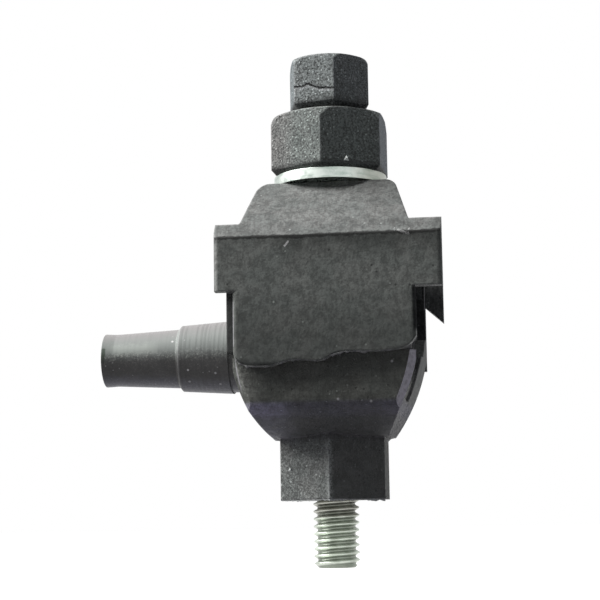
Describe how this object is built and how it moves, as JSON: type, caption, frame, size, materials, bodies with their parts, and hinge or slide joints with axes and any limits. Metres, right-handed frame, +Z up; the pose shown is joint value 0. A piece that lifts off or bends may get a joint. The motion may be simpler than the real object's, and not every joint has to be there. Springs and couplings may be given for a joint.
{
  "type": "insulation piercing connector",
  "caption": "Clamp connector with two moulded jaws, toothed blades and a shear-head bolt that joins a tap cable to an insulated main cable.",
  "frame": {"origin": "on the axis of the main conductor groove, midway along it, in the plane where the two halves part", "axes": "+X along both conductors, away from the end cap; +Y from the tap groove to the main groove and on to the back; +Z up, along the bolt to its head"},
  "size_m": [0.0568, 0.0485, 0.0883],
  "materials": {
    "body_plastic": "grainy glass-filled black plastic",
    "head_plastic": "grainy black plastic",
    "zinc_steel": "bright zinc plating",
    "cap_rubber": "smooth black rubber with fine dust",
    "blade_metal": "tin plating",
    "seal_rubber": "plain black rubber"
  },
  "bodies": {
    "lower_half": {"lower_body": "body_plastic", "nut": "zinc_steel", "blade_lower_left": "blade_metal", "blade_lower_right": "blade_metal", "seal_lower_tap": "seal_rubber", "seal_lower_main": "seal_rubber"},
    "upper_half": {"upper_body": "body_plastic", "blade_upper_left": "blade_metal", "blade_upper_right": "blade_metal", "seal_upper_tap": "seal_rubber", "seal_upper_main": "seal_rubber"},
    "bolt_and_head": {"bolt": "zinc_steel", "shear_head": "head_plastic", "washer": "zinc_steel"},
    "cap": {"end_cap": "cap_rubber"}
  },
  "joints": [
    {"name": "jaw_slide", "type": "slide", "parent": "lower_half", "child": "upper_half", "axis": [0, 0, 1], "range_m": [0, 0.012]},
    {"name": "bolt_turn", "type": "hinge", "parent": "upper_half", "child": "bolt_and_head", "pos_m": [0, -0.0153, 0], "axis": [0, 0, 1], "range_deg": [0, 3456]},
    {"name": "cap_pull", "type": "slide", "parent": "lower_half", "child": "cap", "axis": [-1, 0, 0], "range_m": [0, 0.012]}
  ],
  "couplings": [
    {"joint": "bolt_turn", "follows": "jaw_slide", "rad_per_m": 5026.5}
  ]
}
